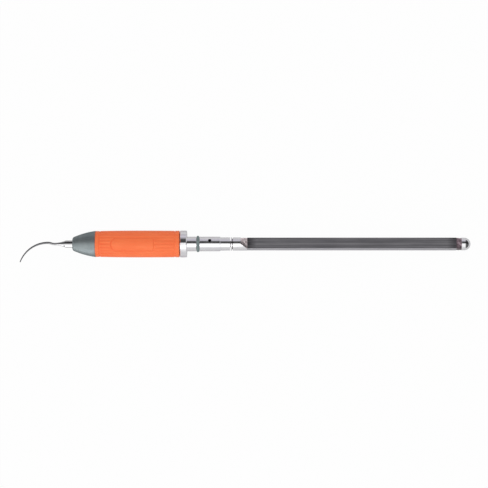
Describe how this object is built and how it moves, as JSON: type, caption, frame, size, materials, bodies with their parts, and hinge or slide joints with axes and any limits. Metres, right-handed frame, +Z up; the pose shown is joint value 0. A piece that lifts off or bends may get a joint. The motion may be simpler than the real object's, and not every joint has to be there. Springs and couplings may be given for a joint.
{
  "type": "ultrasonic scaler insert",
  "caption": "Magnetostrictive dental scaler insert: slim curved steel tip, grey nose cone, ribbed orange swivel grip, polished sealed shank and a long nickel strip stack with a domed end.",
  "frame": {"origin": "centre of the flange's rear face, on the axis, where the insert seats on its handpiece", "axes": "+X along the axis toward the stack and its domed end, the working tip points to -X and curves toward -Y, +Z up with the grip's smooth pad on top"},
  "size_m": [0.1757, 0.0124, 0.0104],
  "materials": {
    "polished_steel": "mirror polished, turned",
    "tip_steel": "polished, drawn lengthwise",
    "spring_steel": "satin",
    "seal_rubber": "matt moulded rubber",
    "bearing_plastic": "natural bearing plastic",
    "core_plastic": "moulded, satin",
    "grip_orange": "soft matt silicone",
    "nose_grey": "moulded, satin",
    "stack_nickel": "oxidised nickel strip, dark, rolled lengthwise",
    "braze": "dull silver braze, mottled"
  },
  "bodies": {
    "base": {"base_sleeve": "polished_steel", "handpiece_o_ring": "seal_rubber", "thrust_washer": "bearing_plastic", "retaining_clip": "spring_steel"},
    "tool": {"scaler_tip": "tip_steel", "connecting_body": "polished_steel", "drive_ring": "spring_steel", "cross_pin": "spring_steel", "damping_washers": "seal_rubber", "rear_bearing": "bearing_plastic", "swivel_seal": "seal_rubber", "bearing_spacer": "spring_steel", "front_bearing": "bearing_plastic", "grip_core": "core_plastic", "grip_sleeve": "grip_orange", "nose_cone": "nose_grey", "nose_seal": "seal_rubber", "flow_guide": "bearing_plastic", "stack_laminations": "stack_nickel", "front_braze": "braze", "rear_braze": "braze", "end_cap": "polished_steel"}
  },
  "joints": [
    {"name": "swivel", "type": "hinge", "parent": "base", "child": "tool", "pos_m": [0, 0, 0], "axis": [-1, 0, 0], "continuous": true}
  ]
}
